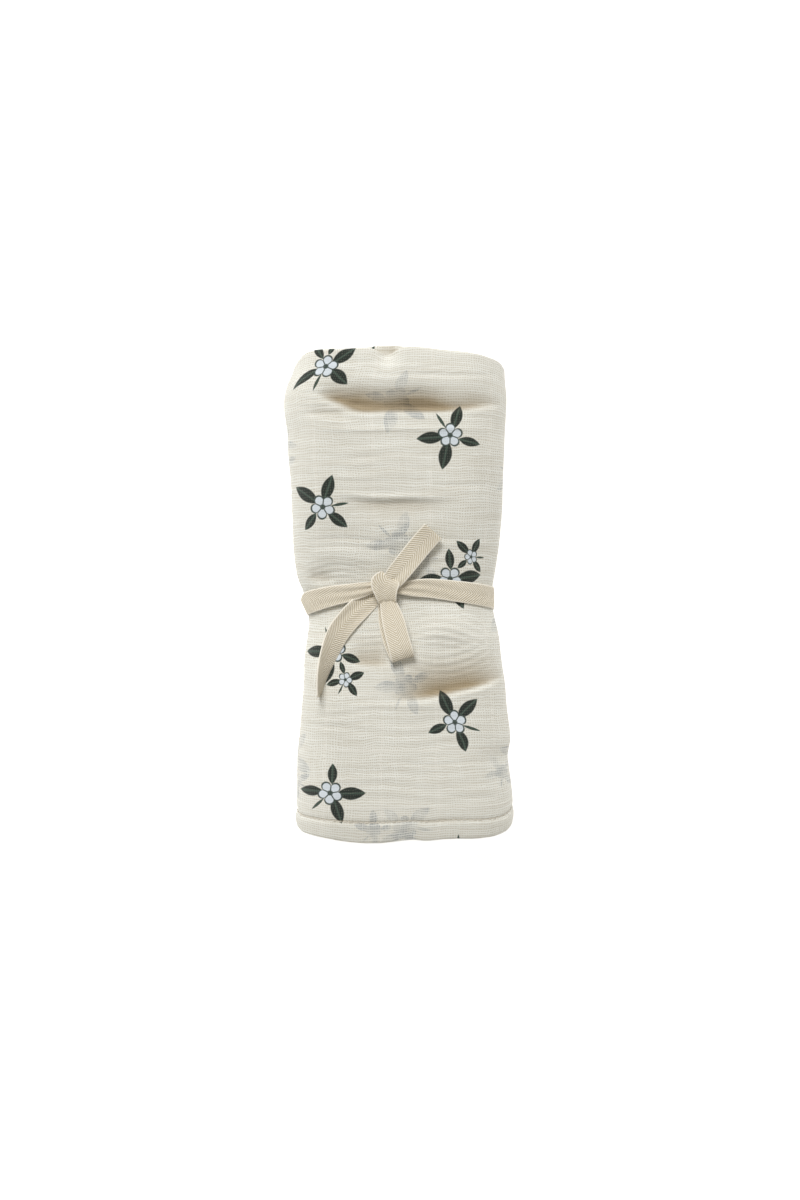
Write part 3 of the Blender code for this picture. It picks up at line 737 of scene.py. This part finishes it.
# The hems' stitch lines: painted shade of their sunk groove darkens the colour here, and the same mask
# sinks the bump below.
seam = 0.0
for axis, at in ((1, SEAM_CUT), (0, HEM)):
    off_seam = calc(gauze, "SUBTRACT", apart.outputs[axis], at)
    off_seam = calc(gauze, "ABSOLUTE", off_seam)
    off_seam = remap(gauze, off_seam, 0.25, 0.8, 1, 0)
    seam = calc(gauze, "MAXIMUM", seam, off_seam)
seam_painted_shade = calc(gauze, "MULTIPLY", seam, 0.42)
colour = mix(gauze, seam_painted_shade, colour, linear("9c8e74"))
# Painted warm shade: the colour is multiplied towards brown where the 'hollow' attribute marks creases
# and the gap behind the dimple.
painted_shade_share = add(gauze, "ShaderNodeAttribute", attribute_name="hollow").node.outputs["Fac"]
painted_shade_share = remap(gauze, painted_shade_share, 0.1, 1.0, 0, 0.9)
colour = add(gauze, "ShaderNodeMixRGB", (painted_shade_share, colour, linear("b3a082")), blend_type="MULTIPLY")
gauze.links.new(colour, cloth_shader.inputs["Base Color"])
cloth_shader.inputs["Roughness"].default_value = 0.92
cloth_shader.inputs["Sheen Weight"].default_value = 0.12
cloth_shader.inputs["Sheen Roughness"].default_value = 0.6
relief = calc(gauze, "MULTIPLY_ADD", tacks, 0.5, woven)
relief = calc(gauze, "MULTIPLY_ADD", seam, -1.5, relief)
relief = add(gauze, "ShaderNodeBump", {"Strength": 0.5, "Distance": 0.3 * MM, "Height": relief})
gauze.links.new(relief, cloth_shader.inputs["Normal"])
cloth_mesh.materials.append(cloth_material)
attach(blanket, "root")
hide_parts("blanket")


# ------------------------------------------------------------ The hem's stitches
# One row of off-white sewing thread, 3 mm a stitch, sunk in the soft hem along the outer layer's
# two open edges. Each stitch is a short bowed thread whose ends dive into the cloth.
STITCH_PITCH, STITCH_LONG, THREAD_RADIUS = 3.0, 2.3, 0.24
STITCH_RINGS, STITCH_SIDES = 5, 6
STITCH_PROUD, STITCH_DIVE = 0.34, 0.55


def cloth_frame(wound, cut):
    """Points of the cloth, with unit vectors along the winding, across it and out of the face."""
    step = 0.4
    middle = np.stack(rolled(wound, cut), -1)
    run = np.stack(rolled(wound + step, cut), -1) - middle
    side = np.stack(rolled(wound, cut + step), -1) - middle
    run /= np.linalg.norm(run, axis=-1, keepdims=True)
    out = np.cross(run, side)
    out /= np.linalg.norm(out, axis=-1, keepdims=True)
    return middle, run, side / np.linalg.norm(side, axis=-1, keepdims=True), out


def stitch_row(wound, cut, turned):
    """Vertices and faces of stitches at places on the cloth; turned ones run along the cut."""
    middle, run, side, out = cloth_frame(wound, cut)
    if turned:
        run, side = side, run
    points, faces = [], []
    for ring in range(STITCH_RINGS):
        share = ring / (STITCH_RINGS - 1) * 2 - 1
        heart = middle + run * (share * STITCH_LONG / 2) + out * (STITCH_PROUD - STITCH_DIVE * share**2)
        for i in range(STITCH_SIDES):
            angle = 2 * math.pi * i / STITCH_SIDES
            points.append(heart + THREAD_RADIUS * (side * math.cos(angle) + out * math.sin(angle)))
    points = np.stack(points, 1)
    per_stitch = STITCH_RINGS * STITCH_SIDES
    for number in range(len(points)):
        first = number * per_stitch
        for ring in range(STITCH_RINGS - 1):
            for i in range(STITCH_SIDES):
                a = first + ring * STITCH_SIDES + i
                b = first + ring * STITCH_SIDES + (i + 1) % STITCH_SIDES
                faces.append((a, b, b + STITCH_SIDES, a + STITCH_SIDES))
        faces.append(tuple(first + i for i in reversed(range(STITCH_SIDES))))
        faces.append(tuple(first + per_stitch - STITCH_SIDES + i for i in range(STITCH_SIDES)))
    points[..., 2] = np.maximum(points[..., 2], FLOOR_GAP)
    return points.reshape(-1, 3), faces


outer_rows = np.flatnonzero(np.abs(LAYER_DEPTH - OUTER_DEPTH) < 0.01)
outer_first, outer_last = CUT[outer_rows[0]], CUT[outer_rows[-1]]
hem_wound = np.arange(HEM, ROUND - 4.0, STITCH_PITCH)
hem_row = stitch_row(hem_wound, np.full_like(hem_wound, outer_first + HEM - EDGE_ROUND), False)
end_cut = np.arange(outer_first + HEM + 3.0, outer_last - 6.0, STITCH_PITCH)
end_row = stitch_row(np.full_like(end_cut, HEM), end_cut, True)
stitch_points = np.concatenate((hem_row[0], end_row[0])) * MM
stitch_faces = hem_row[1] + [tuple(len(hem_row[0]) + i for i in f) for f in end_row[1]]
stitch_mesh = bpy.data.meshes.new("hem_stitches")
stitch_mesh.from_pydata(stitch_points.tolist(), [], stitch_faces)
stitch_mesh.shade_smooth()
stitches = new_object("hem_stitches", stitch_mesh)

# Spun polyester thread: off-white with a faint twist that catches the light.
thread_material, thread_tree, thread_shader = new_material("spun_sewing_thread")
twist = add(thread_tree, "ShaderNodeTexCoord").node.outputs["Object"]
twist = add(thread_tree, "ShaderNodeTexWave", {"Vector": twist, "Scale": 900.0, "Distortion": 1.0},
            bands_direction="DIAGONAL")
twist_colour = mix(thread_tree, twist, linear("d9d2c2"), linear("f3efe6"))
thread_tree.links.new(twist_colour, thread_shader.inputs["Base Color"])
thread_shader.inputs["Roughness"].default_value = 0.65
stitch_mesh.materials.append(thread_material)
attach(stitches, "root")


# ------------------------------------------------------------ The tie
# 56 cm of 13 mm cotton herringbone tape, once round the waist and tied on top in a half bow: two
# free ends and one loop. It is gathered where it enters the knot and stands off the soft cloth.
TAPE_WIDE, TAPE_THICK = 13.0, 0.8
TAPE_ACROSS, TAPE_STEPS = 14, 12       # cells across, and rows between two lines of a table
BAND_STEPS = 260
PLEAT_TURN, PLEAT_DRIFT = 7.0, 9.0     # radians of pleat from the middle to an edge, mm to drift by

# The band: `at` counts the legs of the roll's section, 1 to 2 being its top and 3 to 4 its
# underside; y is its middle, wide its gathered width, stand its air, tip how much further its +Y
# edge stands off, and pleat its folds' depth.
BandRow = namedtuple("BandRow", "at y wide stand tip pleat")
BAND = [
    BandRow(0.0, -7.0, 10.6, 1.0, 0.4, 0.0), BandRow(0.25, -7.8, 9.2, 1.8, 1.4, 0.0),
    BandRow(0.5, -5.2, 12.2, 2.0, 0.6, 0.0), BandRow(0.66, -3.8, 12.4, 2.0, 0.0, 0.05),
    BandRow(0.8, -2.6, 12.0, 2.0, 0.0, 0.1), BandRow(1.0, -0.8, 11.4, 2.0, 0.0, 0.2),
    BandRow(1.12, 0.6, 10.2, 2.4, 0.0, 0.35), BandRow(1.24, 2.4, 8.4, 3.0, 0.0, 0.55),
    BandRow(1.33, 3.8, 6.4, 3.6, 0.0, 0.6), BandRow(1.42, 4.2, 5.2, 3.8, 0.0, 0.5),
    BandRow(1.5, 3.2, 6.4, 3.2, 0.0, 0.6), BandRow(1.6, 3.2, 9.0, 2.0, 0.0, 0.5),
    BandRow(1.74, 3.2, 10.8, 1.2, 0.0, 0.3), BandRow(2.0, 1.0, 12.0, 0.9, 0.0, 0.1),
    BandRow(2.4, -2.0, 12.4, 0.7, 0.0, 0.0), BandRow(3.0, -4.0, 12.8, 0.5, 0.0, 0.0),
    BandRow(4.0, -4.6, 12.8, 0.5, 0.0, 0.0), BandRow(4.6, -6.2, 11.8, 0.7, 0.2, 0.0),
    BandRow(5.0, -7.0, 10.6, 1.0, 0.4, 0.0),
]

# A free stretch: middle x, y, lift over the cloth, width, heading of its run in degrees, how far
# it leans (its right edge up), how much its middle bulges and the depth of its pleats.
Stretch = namedtuple("Stretch", "x y lift wide heading lean bulge pleat")
UPPER_TAIL = [
    Stretch(-5.2, 4.6, 4.8, 10.8, 60, 0, 0.5, 0.4), Stretch(-0.8, 10.4, 5.6, 12.2, 52, 3, 1.0, 0.25),
    Stretch(5.6, 18.4, 4.0, 12.7, 51, 1, 0.7, 0.05), Stretch(12.6, 27.0, 2.8, 12.9, 50, -1, 0.4, 0.0),
    Stretch(19.5, 34.8, 3.8, 12.9, 49, -5, 0.5, 0.0),
]
LOWER_TAIL = [
    Stretch(-9.0, 2.6, 0.7, 9.0, 219, 0, 0.2, 0.1), Stretch(-15.8, -2.6, 0.9, 12.0, 219, 0, 0.3, 0.1),
    Stretch(-22.0, -8.4, 1.8, 12.9, 222, 4, 0.9, 0.2),
    Stretch(-27.4, -14.0, 3.0, 13.0, 225, 9, 0.9, 0.15),
    Stretch(-33.6, -22.2, 4.0, 13.0, 233, 18, 0.6, 0.0),
    Stretch(-38.0, -32.4, 5.0, 13.0, 241, 38, 0.4, 0.0),
    Stretch(-41.8, -44.4, 6.4, 13.0, 251, 62, 0.2, 0.0),
    Stretch(-44.3, -57.4, 6.4, 12.6, 259, 86, 0.0, 0.0),
]
LOOP = [
    Stretch(-6.4, 1.0, 4.0, 8.4, 270, 0, 0.4, 0.4), Stretch(-5.4, -5.0, 5.0, 9.4, 280, 0, 0.8, 0.3),
    Stretch(-2.8, -14.4, 7.4, 12.4, 286, 0, 0.8, 0.1), Stretch(-0.3, -24.4, 8.2, 13.0, 287, 0, 0.6, 0.0),
    Stretch(1.7, -31.6, 7.8, 13.2, 287, 0, 0.4, 0.0), Stretch(2.8, -35.6, 5.6, 13.2, 287, 0, 0.3, 0.0),
    Stretch(2.8, -35.8, 3.4, 13.2, 287, 0, 0.3, 0.0), Stretch(0.6, -32.0, 1.6, 13.2, 287, 0, 0.2, 0.0),
    Stretch(-2.4, -24.6, 1.2, 13.0, 287, 0, 0.2, 0.0), Stretch(-5.0, -15.0, 1.4, 12.0, 284, 0, 0.3, 0.1),
    Stretch(-7.0, -5.0, 2.0, 9.0, 278, 0, 0.3, 0.3),
]
WRAP = [
    Stretch(-4.6, 10.0, 4.0, 10.0, 240, 0, 0.8, 0.0), Stretch(-5.6, 9.0, 5.8, 13.2, 246, 0, 1.4, 0.0),
    Stretch(-7.0, 6.6, 7.6, 16.0, 256, 0, 2.2, 0.1), Stretch(-7.4, 3.2, 8.6, 14.8, 267, 0, 2.8, 0.2),
    Stretch(-6.8, -0.6, 8.4, 12.2, 274, 0, 2.8, 0.2), Stretch(-6.2, -3.8, 7.0, 10.6, 275, 0, 2.4, 0.1),
    Stretch(-5.9, -5.4, 4.6, 10.0, 275, 0, 1.8, 0.0), Stretch(-5.8, -4.8, 2.2, 9.6, 275, 0, 1.2, 0.0),
]


def top_height(x, y):
    """Height of the roll's top at x, y, without the fine waves that the tape bridges."""
    middle, core, low, half = section(y)
    over = np.clip(np.abs(x - middle) - core, 0.0, half)
    z = low + half + np.sqrt(half**2 - over**2)
    return z + CROWN * (1 - ((x - middle) / (core + half)) ** 2) + crease_rise(CREASES, x, y)


def tape_rows(middles, acrosses, widths, bulges, pleats):
    """Upper and lower points of a tape, and its run, from each row's middle and direction across."""
    step = np.gradient(middles, axis=0)
    run = np.concatenate(([0.0], np.cumsum(np.linalg.norm(np.diff(middles, axis=0), axis=1))))
    out = np.cross(acrosses, step)
    out /= np.linalg.norm(out, axis=1, keepdims=True)
    share = np.linspace(-1, 1, TAPE_ACROSS + 1)
    folds = np.cos(share * PLEAT_TURN + run[:, None] / PLEAT_DRIFT)
    lift = bulges[:, None] * (1 - share**2) + pleats[:, None] * folds
    middle_line = middles[:, None] + acrosses[:, None] * (share * widths[:, None] / 2)[..., None]
    edge = TAPE_THICK / 2 * (1 - 0.35 * share**8)
    upper = middle_line + out[:, None] * (lift + edge)[..., None]
    lower = middle_line + out[:, None] * (lift - edge)[..., None]
    return upper, lower, run, share


def stretch_rows(rows):
    """Tape rows of a free stretch, on a smooth curve through its table."""
    at = np.linspace(0, len(rows) - 1, TAPE_STEPS * (len(rows) - 1) + 1)
    x, y, lift, wide, heading, lean, bulge, pleat = (
        read_off(rows, None, name, at) for name in Stretch._fields
    )
    heading, lean = np.radians(heading), np.radians(lean)
    flat_run = np.stack((np.cos(heading), np.sin(heading), np.zeros_like(x)), 1)
    across = np.stack((flat_run[:, 1], -flat_run[:, 0], np.zeros_like(x)), 1)
    across = across * np.cos(lean)[:, None] + np.outer(np.sin(lean), (0.0, 0.0, 1.0))
    middles = np.stack((x, y, top_height(x, y) + lift), 1)
    return middles, -across, wide, bulge, pleat


def band_rows():
    """Tape rows of the band round the roll."""
    at = np.linspace(0.0, 5.0, BAND_STEPS)
    around = np.interp(at, range(6), LEG_MARKS)
    y, wide, stand, tip, pleat = (read_off(BAND, "at", name, at) for name in BandRow._fields[1:])
    share = np.linspace(-1, 1, 3)[None, :]
    across_y = y[:, None] + share * wide[:, None] / 2
    spread = np.broadcast_to(around[:, None], across_y.shape)
    off = stand[:, None] + share * tip[:, None] + TAPE_THICK / 2
    point = np.stack(roll_point(spread, across_y, -off, 0.0), -1)
    middles = point[:, 1]
    acrosses = point[:, 2] - point[:, 0]
    acrosses /= np.linalg.norm(acrosses, axis=1, keepdims=True)
    return middles, acrosses, wide, np.zeros_like(wide), pleat


# The band, which closes on itself, and then the free stretches.
tape_points, tape_faces, tape_places = [], [], []
for rows in (None, UPPER_TAIL, LOWER_TAIL, LOOP, WRAP):
    closed = rows is None
    upper, lower, run, share = tape_rows(*(band_rows() if closed else stretch_rows(rows)))
    ring = np.concatenate((upper, lower[:, ::-1]), 1)
    if closed:
        ring = ring[:-1]
    around = ring.shape[1]
    first = len(tape_points)
    tape_points += ring.reshape(-1, 3).tolist()
    run_at = np.repeat(run[: len(ring), None], around, 1)
    share_at = np.concatenate((share, share[::-1])) * TAPE_WIDE / 2
    tape_places += np.stack((np.broadcast_to(share_at, run_at.shape), run_at), -1).reshape(-1, 2).tolist()
    for i in range(len(ring) if closed else len(ring) - 1):
        here, there = first + i * around, first + (i + 1) % len(ring) * around
        for j in range(around):
            k = (j + 1) % around
            tape_faces.append((here + j, there + j, there + k, here + k))
    if not closed:
        last = first + (len(ring) - 1) * around
        for j in range(TAPE_ACROSS):
            a, b, c, d = j, j + 1, around - 2 - j, around - 1 - j
            tape_faces.append((first + a, first + b, first + c, first + d))
            tape_faces.append((last + d, last + c, last + b, last + a))

tape_mesh = bpy.data.meshes.new("twill_tie")
tape_mesh.from_pydata((np.array(tape_points) * MM).tolist(), [], tape_faces)
bm = bmesh.new()
bm.from_mesh(tape_mesh)
bmesh.ops.recalc_face_normals(bm, faces=bm.faces)
bm.to_mesh(tape_mesh)
bm.free()
lay_flat(tape_mesh, "tape", np.array(tape_places))
tape_mesh.shade_smooth()
tie = new_object("twill_tie", tape_mesh)

# Unbleached cotton twill in herringbone: ribs slant up from both edges and meet in the middle, so
# the eye sees small chevrons and, beside each edge, a smooth selvedge. The ribs are drawn coarser.
RIB_PITCH = 1.5
tape_material, twill, tape_shader = new_material("herringbone_cotton_tape")
tape_place = add(twill, "ShaderNodeUVMap", uv_map="tape")
tape_place = vector_calc(twill, "MULTIPLY", tape_place, (1000, 1000, 0))
apart = add(twill, "ShaderNodeSeparateXYZ", (tape_place,)).node
off_middle = calc(twill, "ABSOLUTE", apart.outputs[0])
slant = calc(twill, "ADD", apart.outputs[1], off_middle)
waver = add(twill, "ShaderNodeTexNoise", {"Vector": tape_place, "Scale": 0.8, "Detail": 2.0})
slant = calc(twill, "MULTIPLY_ADD", waver, 0.7, slant)
slant = calc(twill, "MULTIPLY", slant, 2 * math.pi / RIB_PITCH)
ribbed = calc(twill, "SINE", slant)
ribbed = remap(twill, ribbed, -0.8, 0.8, 0, 1)
selvedge = remap(twill, off_middle, 5.6, 6.1, 0, 1)
ribbed = calc(twill, "MAXIMUM", ribbed, selvedge)
tape_colour = mix(twill, ribbed, linear("ccbfa3"), linear("fbf5e8"))
twill.links.new(tape_colour, tape_shader.inputs["Base Color"])
tape_shader.inputs["Roughness"].default_value = 0.85
tape_shader.inputs["Sheen Weight"].default_value = 0.1
ribbed = add(twill, "ShaderNodeBump", {"Strength": 0.8, "Distance": 0.3 * MM, "Height": ribbed})
twill.links.new(ribbed, tape_shader.inputs["Normal"])
tape_mesh.materials.append(tape_material)
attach(tie, "root")
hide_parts("tie_tape")


# ------------------------------------------------------------ The studio
# White paper, lit until it shows pure white, one large soft window light from the folded end, and
# a faintly warm room that fills the shadows.
FLOOR_HALF, FLOOR_GLOW = 3.0, 0.7
WINDOW_AT, WINDOW_SIZE, WINDOW_WATTS = (-0.6, 2.2, 2.8), 1.5, 86.0
ROOM_STRENGTH = 0.43
floor_mesh = bpy.data.meshes.new("floor")
floor_mesh.from_pydata(
    [(x * FLOOR_HALF, y * FLOOR_HALF, 0.0) for x, y in ((-1, -1), (1, -1), (1, 1), (-1, 1))],
    [],
    [(0, 1, 2, 3)],
)
floor = new_object("floor", floor_mesh)
floor_material, _, floor_shader = new_material("white_paper")
floor_shader.inputs["Base Color"].default_value = linear("f2f2f1")
floor_shader.inputs["Roughness"].default_value = 0.95
floor_shader.inputs["Emission Color"].default_value = linear("ffffff")
floor_shader.inputs["Emission Strength"].default_value = FLOOR_GLOW
floor_mesh.materials.append(floor_material)

window_data = bpy.data.lights.new("window_light", "AREA")
window_data.shape = "DISK"
window_data.size = WINDOW_SIZE
window_data.energy = WINDOW_WATTS
window_light = new_object("window_light", window_data)
window_light.location = WINDOW_AT
window_light.rotation_euler = (-Vector(WINDOW_AT)).to_track_quat("-Z", "Y").to_euler()

world = bpy.data.worlds.new("soft_room")
world.use_nodes = True
room = world.node_tree
room.nodes["Background"].inputs["Color"].default_value = linear("f6f2e9")
room.nodes["Background"].inputs["Strength"].default_value = ROOM_STRENGTH
seen = add(room, "ShaderNodeLightPath").node.outputs["Is Camera Ray"]
white = add(room, "ShaderNodeBackground", (linear("ffffff"), 1.0))
shown = add(room, "ShaderNodeMixShader", (seen, room.nodes["Background"].outputs[0], white))
room.links.new(shown, room.nodes["World Output"].inputs["Surface"])
bpy.context.scene.world = world
bpy.context.scene.view_settings.view_transform = "Standard"


# ------------------------------------------------------------ The camera
# Straight above the blanket, far enough off to keep the sides upright.
CAMERA_LENS, CAMERA_AT = 85.0, (0.0011, -0.0034, 1.625)
camera_data = bpy.data.cameras.new("camera")
camera_data.lens = CAMERA_LENS
camera = new_object("camera", camera_data)
camera.location = CAMERA_AT
bpy.context.scene.camera = camera
